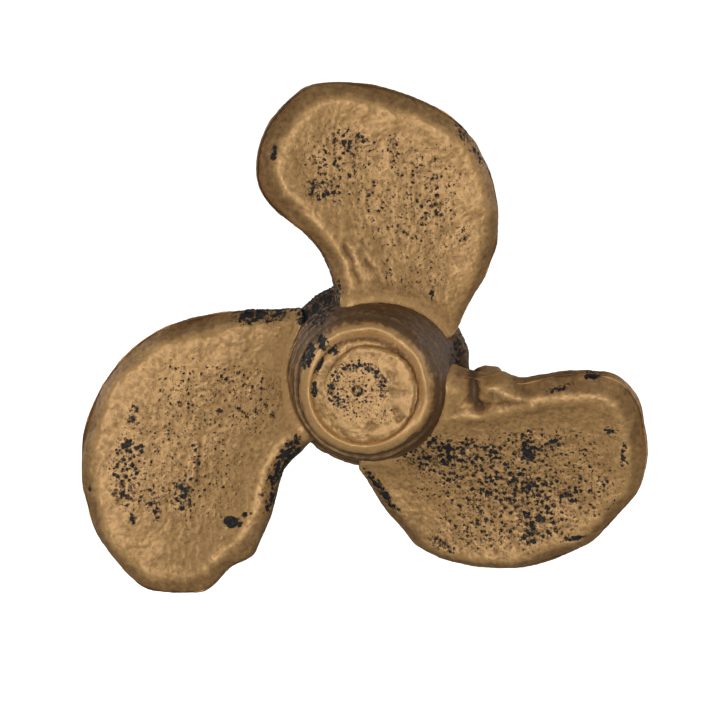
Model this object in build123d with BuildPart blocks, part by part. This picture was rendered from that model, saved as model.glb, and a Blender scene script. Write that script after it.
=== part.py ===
from build123d import *
import os
from math import cos, radians, sin

"""A three-bladed screw propeller about 102 mm across, turning freely on a short fixed spindle.

Row frame, in millimetres: the shaft axis is Y, the nose points along -Y, and +Z is up. The origin
is where the axis meets the spindle's rear face. "Ahead" is the distance forward of that face, so a
point that lies s ahead has y = -s. Seen from the nose, +X is to the right.

Each blade is a separate casting with a tenon that fits a pocket in the hub, locked by a dowel pin
driven in from behind. The spindle, its washers, slotted nut and split pin stand still. The hub,
with its bushes, blades, pins, nose cap and oil plug, turns around them.
"""

# ---------------------------------------------------------------- driving sizes, in millimetres
# Spindle
FLANGE_RADIUS = 13.0
FLANGE_THICK = 3.0
FLANGE_ACROSS_FLATS = 23.0
FLANGE_CHAMFER = 0.5
JOURNAL_RADIUS = 4.0
JOURNAL_END = 16.2
STUD_RADIUS = 3.0
STUD_END = 22.6
STUD_CHAMFER = 0.4
TAPPED_HOLE_RADIUS = 2.1
TAPPED_HOLE_DEPTH = 11.0

# Bushes and thrust washers
RUNNING_GAP = 0.05
BUSH_RADIUS = 5.5
BUSH_FLANK_CHAMFER = 0.3
REAR_BUSH = (4.1, 9.1)
FRONT_BUSH = (10.8, 16.0)
OIL_SPACE_RADIUS = 6.5
WASHER_THICK = 1.0
WASHER_BORE_GAP = 0.2
REAR_WASHER_RADIUS = 9.5
FRONT_WASHER_RADIUS = 7.0

# Hub: its outer wall as (radius, ahead), a straight-sided skirt and then a barrel that narrows ahead
HUB_REAR = 3.5
HUB_FRONT = 24.0
HUB_SKIRT = ((16.5, HUB_REAR), (17.5, 5.1), (17.1, 7.6), (15.4, 9.3))
HUB_BARREL = ((15.4, 9.3), (15.0, 14.0), (14.4, 18.5), (13.5, 22.4))
HUB_FRONT_RADIUS = 12.2
COUNTERBORE_RADIUS = 9.8
NUT_CHAMBER_RADIUS = 7.5
CAP_SEAT_RADIUS = 9.0
CAP_SEAT_REAR = 21.8

# Nose cap, oil plug and their seals
CAP_SPIGOT_REAR = 22.0
CAP_FLANGE_RADIUS = 10.3
CAP_FLANGE_THICK = 0.7
CAP_FLANGE_DRAFT = 0.2
CAP_DISC_RADIUS = 8.2
CAP_DISC_OFFSET = (1.3, 0.0)
CAP_DISC_ROUND = 0.8
CAP_FRONT = 26.4
CAP_HOLLOW_RADIUS = 7.0
CAP_HOLLOW_FRONT = 23.6
GASKET_THICK = 0.3
PLUG_OFFSET = (-1.0, 0.2)
PLUG_RECESS_RADIUS = 4.7
PLUG_RECESS_DEPTH = 1.4
PLUG_HEAD_RADIUS = 4.4
PLUG_HEAD_THICK = 1.0
PLUG_HEAD_ROUND = 0.35
PLUG_SHANK_RADIUS = 2.0
PLUG_SHANK_REAR = 23.3
PLUG_DIMPLE_RADIUS = 1.1
PLUG_WASHER_RADIUS = 4.2

# Slotted nut and split pin
NUT_ACROSS_FLATS = 10.0
NUT_HEIGHT = 5.0
NUT_CORNER_CHAMFER = 0.7
NUT_SLOT_WIDTH = 1.6
NUT_SLOT_DEPTH = 1.9
SPLIT_PIN_RADIUS = 0.6
SPLIT_PIN_HOLE_RADIUS = 0.7
SPLIT_PIN_EYE_RADIUS = 0.8
SPLIT_PIN_WIRE_RADIUS = 0.4
SPLIT_PIN_LEG = 2.2
SPLIT_PIN_SIDE_GAP = 0.05

# Blades: the angle of each tenon, the tenon and its dowel pin
BLADE_HEIGHT = 12.5
TENON_ANGLES = {"top": 84.0, "left": 204.0, "right": 324.0}
TENON_WIDTH = 9.0
TENON_THICK = 4.4
TENON_INNER_RADIUS = 10.0
TENON_OUTER_RADIUS = 18.5
TENON_PITCH = 24.0
PIN_RADIUS = 1.0
PIN_CIRCLE_RADIUS = 12.6
PIN_FRONT = 17.0
ROOT_GAP = 0.05
ROOT_REAR_RADIUS = 16.4

# Sections of the slab that every blade is cut from: distance out from the axis, pitch angle,
# thickness, and how deep its front face is hollowed across the slab's width
BLADE_SECTIONS = (
    (2.0, 28.0, 7.6, 0.6),
    (20.0, 22.5, 6.8, 1.2),
    (38.0, 14.5, 5.6, 2.2),
    (62.0, 9.5, 4.8, 1.8),
)
SLAB_HALF_WIDTH = 34.0
FRONT_RIM_ROUND = 2.4
BACK_RIM_ROUND = 1.4

# Blade outlines seen from the nose: (out along the tenon's line, across it anticlockwise). The
# blades were moulded by hand, so no two are alike. Their edges stand square to the mean pitch.
MEAN_PITCH = 15.0
OUTLINES = {
    "top": (
        (7, -13.8), (16, -17), (26.5, -19.9), (37.5, -18.1), (46.5, -12), (51.5, -1.5), (52.7, 8.5),
        (50.8, 15.8), (45.8, 20.8), (38, 23.3), (31.2, 21.2), (26.3, 15.3), (21, 9.4), (14, 7.4), (7, 7.4),
    ),
    "left": (
        (5, -16), (11, -18), (20.5, -21.2), (34, -22.6), (45, -18.5), (52.6, -11.6), (56.8, -2.5),
        (57.5, 5.5), (54.2, 16), (47, 21.5), (39, 21.5), (31, 18.8), (24.9, 13.2), (19.7, 7.3),
        (14, 5.8), (6, 6.7),
    ),
    "right": (
        (6, -14.8), (14, -19), (23.5, -22.2), (33.5, -19.6), (43.8, -11.4), (49.6, -0.2), (50.5, 8.2),
        (48.6, 17), (43.6, 24), (37.5, 27.8), (31.3, 26.6), (25, 21.6), (19.7, 16), (13, 12), (6, 10.4),
    ),
}
OUTLINE_REACH = 24.0
STUB_CENTRE = (17.7, 9.6, 10.8)
STUB_RADIUS = 3.6
STUB_HALF_LENGTH = 6.4

# How far a cutting shape reaches past what it cuts, and the shortest rim edge of a blade
CUT_MARGIN = 1.0
LONG_RIM = 60.0

# Every turned profile is drawn as (radius, ahead) in this plane and revolved about the Y axis.
PROFILE = Plane(origin=(0, 0, 0), x_dir=(1, 0, 0), z_dir=(0, 0, -1))

# Places that follow from the sizes above
FRONT_WASHER_REAR = JOURNAL_END
NUT_REAR = FRONT_WASHER_REAR + WASHER_THICK
NUT_FRONT = NUT_REAR + NUT_HEIGHT
SPLIT_PIN_PLACE = NUT_FRONT - NUT_SLOT_DEPTH / 2
PLUG_SEAT = CAP_FRONT - PLUG_RECESS_DEPTH
PLUG_HEAD_REAR = PLUG_SEAT + GASKET_THICK


def ahead(distance):
    """The plane across the axis that lies this far forward of the rear face."""
    return Plane.XZ.offset(distance)


def turn_ring(inner, outer, rear, front, mode=Mode.ADD):
    """Adds or cuts a plain ring between two radii and two distances ahead."""
    with BuildSketch(PROFILE) as section:
        with Locations(((inner + outer) / 2, (rear + front) / 2)):
            Rectangle(outer - inner, front - rear)
    revolve(section.sketch, axis=Axis.Y, mode=mode)


def turn_outline(points, mode=Mode.ADD):
    """Adds, cuts or keeps what a closed outline of (radius, ahead) points sweeps about the axis."""
    with BuildSketch(PROFILE) as section:
        with BuildLine():
            Polyline(*points, close=True)
        make_face()
    revolve(section.sketch, axis=Axis.Y, mode=mode)


def write(sub_part, name):
    """Labels a finished sub-part and writes its STEP file."""
    sub_part.part.label = name
    export_step(sub_part.part, f"parts/{name}.step")


def turned_to(solid, angle):
    """A solid drawn along +X, turned anticlockwise about the shaft axis as seen from the nose."""
    return solid.rotate(Axis.Y, -angle)


def hub_envelope():
    """The hub's outer shape with no hollows: a skirt at the rear, then a barrel that narrows ahead."""
    with BuildPart() as envelope:
        with BuildSketch(PROFILE):
            with BuildLine():
                Polyline(*HUB_SKIRT)
                Spline(*HUB_BARREL)
                Polyline(HUB_BARREL[-1], (HUB_FRONT_RADIUS, HUB_FRONT), (0, HUB_FRONT))
                Polyline((0, HUB_FRONT), (0, HUB_REAR), HUB_SKIRT[0])
            make_face()
        revolve(axis=Axis.Y)
    return envelope.part


def root_clearance():
    """What no blade may enter: the hub grown by a small gap, and the room behind its rear face."""
    with BuildPart() as clearance:
        add(hub_envelope())
        offset(amount=ROOT_GAP)
        turn_ring(0, ROOT_REAR_RADIUS, -OUTLINE_REACH, HUB_REAR)
    return clearance.part


def pitched_across(pitch):
    """The direction across a blade that points along +X, at this pitch angle."""
    return (0, -sin(radians(pitch)), cos(radians(pitch)))


def section_plane(out, pitch):
    """The plane of a section across a blade: its x runs across the blade, and its y points ahead."""
    return Plane(origin=(out, -BLADE_HEIGHT, 0), x_dir=pitched_across(pitch), z_dir=(1, 0, 0))


def tenon_block():
    """The tenon of a blade that points along +X, tilted to the pitch of the root."""
    with BuildPart() as tenon:
        with BuildSketch(section_plane(TENON_INNER_RADIUS, TENON_PITCH)):
            Rectangle(TENON_WIDTH, TENON_THICK)
        extrude(amount=TENON_OUTER_RADIUS - TENON_INNER_RADIUS)
    return tenon.part


def dowel():
    """The dowel pin of a blade that points along +X."""
    with BuildPart() as pin:
        with BuildSketch(ahead(HUB_REAR)):
            with Locations((PIN_CIRCLE_RADIUS, 0)):
                Circle(PIN_RADIUS)
        extrude(amount=PIN_FRONT - HUB_REAR)
    return pin.part


def blade_slab():
    """A hollow-faced slab along +X that twists with the pitch, wider than any blade."""
    with BuildPart() as slab:
        for out, pitch, thick, hollow in BLADE_SECTIONS:
            side = SLAB_HALF_WIDTH
            half = thick / 2
            with BuildSketch(section_plane(out, pitch)):
                with BuildLine():
                    ThreePointArc((-side, half), (0, half - hollow), (side, half))
                    Line((side, half), (side, -half))
                    ThreePointArc((side, -half), (0, -half - hollow), (-side, -half))
                    Line((-side, -half), (-side, half))
                make_face()
        loft()
    return slab.part


def blade(points, slab, envelope, with_stub):
    """One blade casting along +X: the slab cut to an outline, its rims rounded, with its tenon."""
    square_to_blade = (0, -cos(radians(MEAN_PITCH)), -sin(radians(MEAN_PITCH)))
    blade_plane = Plane(origin=(0, -BLADE_HEIGHT, 0), x_dir=(1, 0, 0), z_dir=square_to_blade)
    points = [(out, across / cos(radians(MEAN_PITCH))) for out, across in points]
    with BuildPart() as casting:
        with BuildSketch(blade_plane.offset(-OUTLINE_REACH)):
            with BuildLine():
                Spline(*points)
                Line(points[-1], points[0])
            make_face()
        extrude(amount=2 * OUTLINE_REACH)
        add(slab, mode=Mode.INTERSECT)
        long_edges = casting.edges().filter_by(lambda edge: edge.length > LONG_RIM)
        fillet(long_edges.sort_by(Axis.Y)[0], FRONT_RIM_ROUND)
        long_edges = casting.edges().filter_by(lambda edge: edge.length > LONG_RIM)
        fillet(long_edges.sort_by(Axis.Y)[-1], BACK_RIM_ROUND)
        if with_stub:
            out, forward, across = STUB_CENTRE
            with BuildSketch(Plane(origin=(out, -forward, across), x_dir=(1, 0, 0), z_dir=(0, 0, 1))):
                Ellipse(STUB_RADIUS, STUB_HALF_LENGTH)
                with Locations((-STUB_RADIUS, 0)):
                    Rectangle(2 * STUB_RADIUS, 2 * STUB_HALF_LENGTH, mode=Mode.SUBTRACT)
            revolve(axis=Axis((out, -forward, across), (0, 1, 0)))
        add(envelope, mode=Mode.SUBTRACT)
        add(tenon_block())
        add(dowel(), mode=Mode.SUBTRACT)
    return casting


# ---------------------------------------------------------------- standing parts
os.makedirs("parts", exist_ok=True)

with BuildPart() as spindle:
    turn_outline((
        (0, 0), (FLANGE_RADIUS, 0), (FLANGE_RADIUS, FLANGE_THICK - FLANGE_CHAMFER),
        (FLANGE_RADIUS - FLANGE_CHAMFER, FLANGE_THICK), (JOURNAL_RADIUS, FLANGE_THICK),
        (JOURNAL_RADIUS, JOURNAL_END), (STUD_RADIUS, JOURNAL_END),
        (STUD_RADIUS, STUD_END - STUD_CHAMFER), (STUD_RADIUS - STUD_CHAMFER, STUD_END), (0, STUD_END),
    ))
    with BuildSketch(ahead(0)):
        Circle(FLANGE_RADIUS + CUT_MARGIN)
        Rectangle(2 * (FLANGE_RADIUS + CUT_MARGIN), FLANGE_ACROSS_FLATS, mode=Mode.SUBTRACT)
    extrude(amount=FLANGE_THICK, mode=Mode.SUBTRACT)
    turn_ring(0, TAPPED_HOLE_RADIUS, 0, TAPPED_HOLE_DEPTH, mode=Mode.SUBTRACT)
    with BuildSketch(Plane.YZ):
        with Locations((-SPLIT_PIN_PLACE, 0)):
            Circle(SPLIT_PIN_HOLE_RADIUS)
    extrude(amount=STUD_RADIUS + CUT_MARGIN, both=True, mode=Mode.SUBTRACT)
write(spindle, "spindle")

with BuildPart() as rear_thrust_washer:
    turn_ring(JOURNAL_RADIUS + WASHER_BORE_GAP, REAR_WASHER_RADIUS, FLANGE_THICK, FLANGE_THICK + WASHER_THICK)
write(rear_thrust_washer, "rear_thrust_washer")

with BuildPart() as front_thrust_washer:
    turn_ring(STUD_RADIUS + WASHER_BORE_GAP, FRONT_WASHER_RADIUS, FRONT_WASHER_REAR, NUT_REAR)
write(front_thrust_washer, "front_thrust_washer")

with BuildPart() as spindle_nut:
    with BuildSketch(ahead(NUT_REAR)):
        RegularPolygon(NUT_ACROSS_FLATS / 2, 6, major_radius=False, rotation=30)
    extrude(amount=NUT_HEIGHT)
    corner = NUT_ACROSS_FLATS / 2 / cos(radians(30))
    turn_outline((
        (0, NUT_REAR), (corner - NUT_CORNER_CHAMFER, NUT_REAR), (corner, NUT_REAR + NUT_CORNER_CHAMFER / 2),
        (corner, NUT_FRONT - NUT_CORNER_CHAMFER / 2), (corner - NUT_CORNER_CHAMFER, NUT_FRONT),
        (0, NUT_FRONT),
    ), mode=Mode.INTERSECT)
    turn_ring(0, STUD_RADIUS, NUT_REAR, NUT_FRONT, mode=Mode.SUBTRACT)
    with BuildSketch(ahead(NUT_FRONT - NUT_SLOT_DEPTH)):
        with PolarLocations(0, 3):
            Rectangle(2 * NUT_ACROSS_FLATS, NUT_SLOT_WIDTH)
    extrude(amount=NUT_SLOT_DEPTH, mode=Mode.SUBTRACT)
write(spindle_nut, "spindle_nut")

with BuildPart() as split_pin:
    leg_place = NUT_ACROSS_FLATS / 2 + SPLIT_PIN_WIRE_RADIUS + SPLIT_PIN_SIDE_GAP
    with BuildSketch(Plane.YZ.offset(-leg_place)):
        with Locations((-SPLIT_PIN_PLACE, 0)):
            Circle(SPLIT_PIN_RADIUS)
    extrude(amount=2 * leg_place)
    with BuildSketch(ahead(SPLIT_PIN_PLACE - SPLIT_PIN_WIRE_RADIUS)):
        with Locations((-leg_place - SPLIT_PIN_EYE_RADIUS / 2, 0)):
            Circle(SPLIT_PIN_EYE_RADIUS + SPLIT_PIN_WIRE_RADIUS)
            Circle(SPLIT_PIN_EYE_RADIUS - SPLIT_PIN_WIRE_RADIUS, mode=Mode.SUBTRACT)
    extrude(amount=2 * SPLIT_PIN_WIRE_RADIUS)
    with BuildSketch(Plane.XY.offset(-SPLIT_PIN_LEG)):
        with Locations((leg_place, -SPLIT_PIN_PLACE)):
            Circle(SPLIT_PIN_WIRE_RADIUS)
    extrude(amount=2 * SPLIT_PIN_LEG)
write(split_pin, "split_pin")

# ---------------------------------------------------------------- turning parts
with BuildPart() as hub:
    add(hub_envelope())
    turn_ring(0, COUNTERBORE_RADIUS, HUB_REAR, REAR_BUSH[0], mode=Mode.SUBTRACT)
    turn_ring(0, BUSH_RADIUS, REAR_BUSH[0], FRONT_BUSH[1], mode=Mode.SUBTRACT)
    turn_ring(0, OIL_SPACE_RADIUS, REAR_BUSH[1], FRONT_BUSH[0], mode=Mode.SUBTRACT)
    turn_ring(0, NUT_CHAMBER_RADIUS, FRONT_BUSH[1], CAP_SEAT_REAR, mode=Mode.SUBTRACT)
    turn_ring(0, CAP_SEAT_RADIUS, CAP_SEAT_REAR, HUB_FRONT, mode=Mode.SUBTRACT)
    for angle in TENON_ANGLES.values():
        add(turned_to(tenon_block(), angle), mode=Mode.SUBTRACT)
        add(turned_to(dowel(), angle), mode=Mode.SUBTRACT)
write(hub, "hub")

for name, (bush_rear, bush_front) in {"rear_bush": REAR_BUSH, "front_bush": FRONT_BUSH}.items():
    bore = JOURNAL_RADIUS + RUNNING_GAP
    with BuildPart() as bush:
        turn_outline((
            (bore, bush_rear), (BUSH_RADIUS, bush_rear), (BUSH_RADIUS, bush_front),
            (bore + BUSH_FLANK_CHAMFER, bush_front), (bore, bush_front - BUSH_FLANK_CHAMFER),
        ))
    write(bush, name)

slab = blade_slab()
root_cutter = root_clearance()
for name, angle in TENON_ANGLES.items():
    with BuildPart() as turned_blade:
        add(turned_to(blade(OUTLINES[name], slab, root_cutter, name == "right").part, angle))
    write(turned_blade, f"blade_{name}")
    with BuildPart() as blade_pin:
        add(turned_to(dowel(), angle))
    write(blade_pin, f"blade_pin_{name}")

with BuildPart() as cap_gasket:
    turn_ring(CAP_SEAT_RADIUS, CAP_FLANGE_RADIUS, HUB_FRONT, HUB_FRONT + GASKET_THICK)
write(cap_gasket, "cap_gasket")

with BuildPart() as nose_cap:
    flange_rear = HUB_FRONT + GASKET_THICK
    flange_front = flange_rear + CAP_FLANGE_THICK
    turn_outline((
        (0, CAP_SPIGOT_REAR), (CAP_SEAT_RADIUS, CAP_SPIGOT_REAR), (CAP_SEAT_RADIUS, flange_rear),
        (CAP_FLANGE_RADIUS, flange_rear), (CAP_FLANGE_RADIUS - CAP_FLANGE_DRAFT, flange_front),
        (0, flange_front),
    ))
    with BuildSketch(ahead(flange_front)):
        with Locations(CAP_DISC_OFFSET):
            Circle(CAP_DISC_RADIUS)
    extrude(amount=CAP_FRONT - flange_front)
    fillet(nose_cap.edges().sort_by(Axis.Y)[0], CAP_DISC_ROUND)
    turn_ring(0, CAP_HOLLOW_RADIUS, CAP_SPIGOT_REAR, CAP_HOLLOW_FRONT, mode=Mode.SUBTRACT)
    with BuildSketch(ahead(PLUG_SEAT)):
        with Locations(PLUG_OFFSET):
            Circle(PLUG_RECESS_RADIUS)
    extrude(amount=PLUG_RECESS_DEPTH, mode=Mode.SUBTRACT)
    with BuildSketch(ahead(CAP_HOLLOW_FRONT)):
        with Locations(PLUG_OFFSET):
            Circle(PLUG_SHANK_RADIUS)
    extrude(amount=PLUG_SEAT - CAP_HOLLOW_FRONT, mode=Mode.SUBTRACT)
write(nose_cap, "nose_cap")

with BuildPart() as plug_washer:
    with BuildSketch(ahead(PLUG_SEAT)):
        with Locations(PLUG_OFFSET):
            Circle(PLUG_WASHER_RADIUS)
            Circle(PLUG_SHANK_RADIUS, mode=Mode.SUBTRACT)
    extrude(amount=GASKET_THICK)
write(plug_washer, "plug_washer")

with BuildPart() as oil_plug:
    with BuildSketch(ahead(PLUG_HEAD_REAR)):
        with Locations(PLUG_OFFSET):
            Circle(PLUG_HEAD_RADIUS)
    extrude(amount=PLUG_HEAD_THICK)
    fillet(oil_plug.edges().sort_by(Axis.Y)[0], PLUG_HEAD_ROUND)
    with BuildSketch(ahead(PLUG_SHANK_REAR)):
        with Locations(PLUG_OFFSET):
            Circle(PLUG_SHANK_RADIUS)
    extrude(amount=PLUG_HEAD_REAR - PLUG_SHANK_REAR)
    with BuildSketch(ahead(PLUG_HEAD_REAR + PLUG_HEAD_THICK / 2)):
        with Locations(PLUG_OFFSET):
            Circle(PLUG_DIMPLE_RADIUS)
    extrude(amount=PLUG_HEAD_THICK, mode=Mode.SUBTRACT)
write(oil_plug, "oil_plug")
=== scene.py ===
"""The looks of a gold-painted cast propeller with three hand-moulded blades, turning on a steel spindle.

Sizes are in millimetres unless a name says otherwise. The shaft axis is Y and the nose points along
-Y, so a point that lies s ahead of the spindle's rear face has y = -s. Seen from the nose, +X is to
the right and +Z is up.
"""

import logging
import math
from dataclasses import dataclass, field
from enum import Enum
from typing import Any, Optional, Union

import bmesh
import bpy
import numpy as np
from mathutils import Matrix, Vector


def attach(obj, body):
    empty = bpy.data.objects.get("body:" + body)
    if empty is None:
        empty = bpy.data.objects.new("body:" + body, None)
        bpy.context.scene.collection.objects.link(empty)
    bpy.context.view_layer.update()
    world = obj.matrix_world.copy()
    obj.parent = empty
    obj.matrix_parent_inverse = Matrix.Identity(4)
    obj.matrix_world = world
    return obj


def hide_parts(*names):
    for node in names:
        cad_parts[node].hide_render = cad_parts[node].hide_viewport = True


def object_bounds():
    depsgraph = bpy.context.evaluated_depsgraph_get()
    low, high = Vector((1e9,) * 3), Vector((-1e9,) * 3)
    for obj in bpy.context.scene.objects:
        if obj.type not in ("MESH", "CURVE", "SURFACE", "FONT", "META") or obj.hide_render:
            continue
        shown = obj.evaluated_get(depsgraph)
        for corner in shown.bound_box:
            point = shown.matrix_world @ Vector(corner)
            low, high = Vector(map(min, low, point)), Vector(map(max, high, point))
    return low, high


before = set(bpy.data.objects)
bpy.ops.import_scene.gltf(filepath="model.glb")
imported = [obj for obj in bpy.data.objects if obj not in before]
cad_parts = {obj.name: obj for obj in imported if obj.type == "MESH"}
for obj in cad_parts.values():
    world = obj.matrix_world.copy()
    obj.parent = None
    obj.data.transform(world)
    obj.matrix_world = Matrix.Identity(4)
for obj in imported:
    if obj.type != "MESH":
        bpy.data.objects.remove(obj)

MM = 0.001
DOUBLES_APART = 0.002 * MM
CAD_BOX = [list(corner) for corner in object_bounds()]
FINE_MESH = 1.0

log = logging.getLogger("propeller")

# The hub's outer wall as (radius, ahead), from the rear face of its skirt to its front edge
HUB_WALL = (
    (16.5, 3.5), (17.5, 5.1), (17.1, 7.6), (15.4, 9.3),
    (15.0, 14.0), (14.4, 18.5), (13.5, 22.4), (12.2, 24.0))
MEAN_PITCH = math.radians(15.0)
BLADE_HEIGHT = 12.5

# A surface faces a direction in full once the cosine of the angle between them passes the second number
FACING = (0.25, 0.6)

# How the wear sets the size of a bare spot: its gain, and what is taken off so that slight wear leaves none
SPOT_GAIN = 0.68
SPOT_LOSS = 0.06

# One side of a round part passes into the other over these shares of the way round
HALF_TURN = (0.25, 0.75)

Array = np.ndarray
Key = Union[str, int]
Colour = tuple[float, float, float]
Pair = tuple[float, float]  # a point seen from the nose, a radius and a height, or a fade's start and end


class Body(Enum):
    """The two bodies of the frame: what stands still and what turns."""

    STANDING = "spindle"
    TURNING = "propeller"


class Slot(Enum):
    """The record's material slots."""

    PAINTED = "painted_casting"
    STEEL = "turned_steel"
    BRONZE = "bronze_bearing"
    FIBRE = "fibre_seal"


# ---- node trees


class Wire:
    """An output socket of a node tree that arithmetic can be written with."""

    def __init__(self, graph: "Graph", socket: bpy.types.NodeSocket) -> None:
        """Keeps the socket and the tree that it belongs to."""
        self.graph = graph
        self.socket = socket

    def __add__(self, other: "Value") -> "Wire":
        """self + other."""
        return self.graph.math("ADD", self, other)

    __radd__ = __add__

    def __sub__(self, other: "Value") -> "Wire":
        """self - other."""
        return self.graph.math("SUBTRACT", self, other)

    def __rsub__(self, other: "Value") -> "Wire":
        """other - self."""
        return self.graph.math("SUBTRACT", other, self)

    def __mul__(self, other: "Value") -> "Wire":
        """self * other."""
        return self.graph.math("MULTIPLY", self, other)

    __rmul__ = __mul__

    def __truediv__(self, other: "Value") -> "Wire":
        """self / other."""
        return self.graph.math("DIVIDE", self, other)

    def __rtruediv__(self, other: "Value") -> "Wire":
        """other / self."""
        return self.graph.math("DIVIDE", other, self)

    def __pow__(self, other: "Value") -> "Wire":
        """self ** other."""
        return self.graph.math("POWER", self, other)

    def clamped(self) -> "Wire":
        """The same value kept between 0 and 1."""
        return self.graph.math("ADD", self, 0.0, clamp=True)


Value = Union[Wire, int, float]


class Graph:
    """A shader or geometry tree that is written as Python expressions."""

    def __init__(self, tree: bpy.types.NodeTree) -> None:
        """Starts from an empty tree."""
        self.tree = tree
        tree.nodes.clear()

    def node(self, kind: str, settings: Optional[dict[str, Any]] = None,
             inputs: Optional[dict[Key, Any]] = None) -> bpy.types.Node:
        """Adds one node.

        Args:
            kind: the node's type.
            settings: its properties, set before anything else.
            inputs: a value or a Wire for each input socket, by name or place.

        Returns:
            The new node.
        """
        made = self.tree.nodes.new(kind)
        for name, value in (settings or {}).items():
            setattr(made, name, value)
        for name, value in (inputs or {}).items():
            if isinstance(value, Wire):
                self.tree.links.new(value.socket, made.inputs[name])
            else:
                made.inputs[name].default_value = value
        return made

    def wire(self, kind: str, settings: Optional[dict[str, Any]] = None,
             inputs: Optional[dict[Key, Any]] = None, output: Key = 0) -> Wire:
        """Adds one node and gives one of its outputs.

        Args:
            kind: the node's type.
            settings: its properties.
            inputs: what its input sockets get.
            output: the output wanted, by name or place.

        Returns:
            That output as a Wire.
        """
        return Wire(self, self.node(kind, settings, inputs).outputs[output])

    def math(self, operation: str, first: Value, second: Value, clamp: bool = False) -> Wire:
        """One Math node.

        Args:
            operation: what it works out.
            first: its upper input.
            second: its lower input.
            clamp: whether the result stays between 0 and 1.

        Returns:
            The result.
        """
        settings = {"operation": operation, "use_clamp": clamp}
        return self.wire("ShaderNodeMath", settings, {0: first, 1: second})

    def mix(self, factor: Value, low: Any, high: Any) -> Wire:
        """A blend of two colours.

        Args:
            factor: 0 gives the first colour and 1 the second.
            low: the first colour, as a Wire or red, green and blue.
            high: the second colour.

        Returns:
            The blended colour.
        """
        colours = [shade if isinstance(shade, Wire) else (*shade, 1.0) for shade in (low, high)]
        inputs: dict[Key, Any] = {0: factor, 6: colours[0], 7: colours[1]}
        return self.wire("ShaderNodeMix", {"data_type": "RGBA"}, inputs, 2)

    def vector(self, operation: str, first: Any, second: Any) -> Wire:
        """One Vector Math node; SCALE takes a number second, and the others take a vector."""
        socket: Key = "Scale" if operation == "SCALE" else 1
        return self.wire("ShaderNodeVectorMath", {"operation": operation}, {0: first, socket: second})

    def place(self) -> Wire:
        """The Object coordinates of the shaded point, in metres."""
        return self.wire("ShaderNodeTexCoord", output="Object")

    def noise(self, place: Wire, size: float, detail: float = 2.0, rough: float = 0.5,
              twist: float = 0.0) -> Wire:
        """A smooth random field.

        Args:
            place: the coordinates it is read at, in metres.
            size: how far apart its lumps are, in millimetres.
            detail: how many finer layers it has.
            rough: how strong those are.
            twist: how much it is distorted.

        Returns:
            A value that varies about 0.5.
        """
        return self.wire("ShaderNodeTexNoise", {"noise_dimensions": "3D"}, {
            "Vector": place, "Scale": 1.0 / (size * MM), "Detail": detail, "Roughness": rough,
            "Distortion": twist})

    def attribute(self, name: str) -> Wire:
        """A number kept on each point of the mesh, read in a shader."""
        settings = {"attribute_type": "GEOMETRY", "attribute_name": name}
        return self.wire("ShaderNodeAttribute", settings, output="Fac")


def bare_spots(graph: Graph, place: Wire, worn: Value, spacing: Value = 1.0, least: float = 0.3) -> Wire:
    """How far a point lies inside a spot with no paint. The skin and the finish have the same spots.

    Args:
        graph: the tree it is written in.
        place: the coordinates, in metres.
        worn: how worn the paint is there, from 0 to about 1.5.
        spacing: how far apart the spots are, in millimetres, as a number or a Wire.
        least: the size of the smallest spots against the middling ones.

    Returns:
        A value above 0 inside a bare spot and below 0 outside, in spacings.
    """
    ragged = graph.wire("ShaderNodeTexNoise", {"noise_dimensions": "3D"}, {
        "Vector": place, "Scale": 1.0 / (0.5 * spacing * MM), "Detail": 3.0, "Roughness": 0.7}, "Color")
    centred = graph.vector("SUBTRACT", ragged, (0.5, 0.5, 0.5))
    warped = graph.vector("ADD", place, graph.vector("SCALE", centred, 1.5 * spacing * MM))
    cells = graph.node("ShaderNodeTexVoronoi", {"voronoi_dimensions": "3D", "feature": "F1"}, {
        "Vector": warped, "Scale": 1.0 / (spacing * MM), "Randomness": 1.0})
    chance = graph.wire("ShaderNodeSeparateXYZ", inputs={0: Wire(graph, cells.outputs["Color"])})
    return (worn * SPOT_GAIN - SPOT_LOSS) * (chance + least) - Wire(graph, cells.outputs["Distance"])


# ---- finishes


def new_material(name: str) -> tuple[bpy.types.Material, Graph]:
    """Makes an empty material.

    Args:
        name: what it is called.

    Returns:
        The material and its tree.
    """
    material = bpy.data.materials.new(name)
    material.use_nodes = True
    return material, Graph(material.node_tree)


def close_material(graph: Graph, colour: Any, rough: Value, metal: Value, height: Optional[Wire],
                   **constants: Any) -> None:
    """Joins a finish to the surface.

    Args:
        graph: the material's tree.
        colour: the base colour, as a Wire or red, green and blue.
        rough: the roughness.
        metal: how metallic it is.
        height: the relief in metres, or None.
        constants: other sockets that are the same all over, with spaces as underscores.
    """
    inputs: dict[Key, Any] = {"Roughness": rough, "Metallic": metal}
    inputs["Base Color"] = colour if isinstance(colour, Wire) else (*colour, 1.0)
    if height is not None:
        inputs["Normal"] = graph.wire("ShaderNodeBump", inputs={
            "Strength": 1.0, "Distance": 1.0, "Height": height})
    inputs.update({name.replace("_", " "): value for name, value in constants.items()})
    shader = graph.wire("ShaderNodeBsdfPrincipled", inputs=inputs)
    graph.node("ShaderNodeOutputMaterial", inputs={"Surface": shader})


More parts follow.
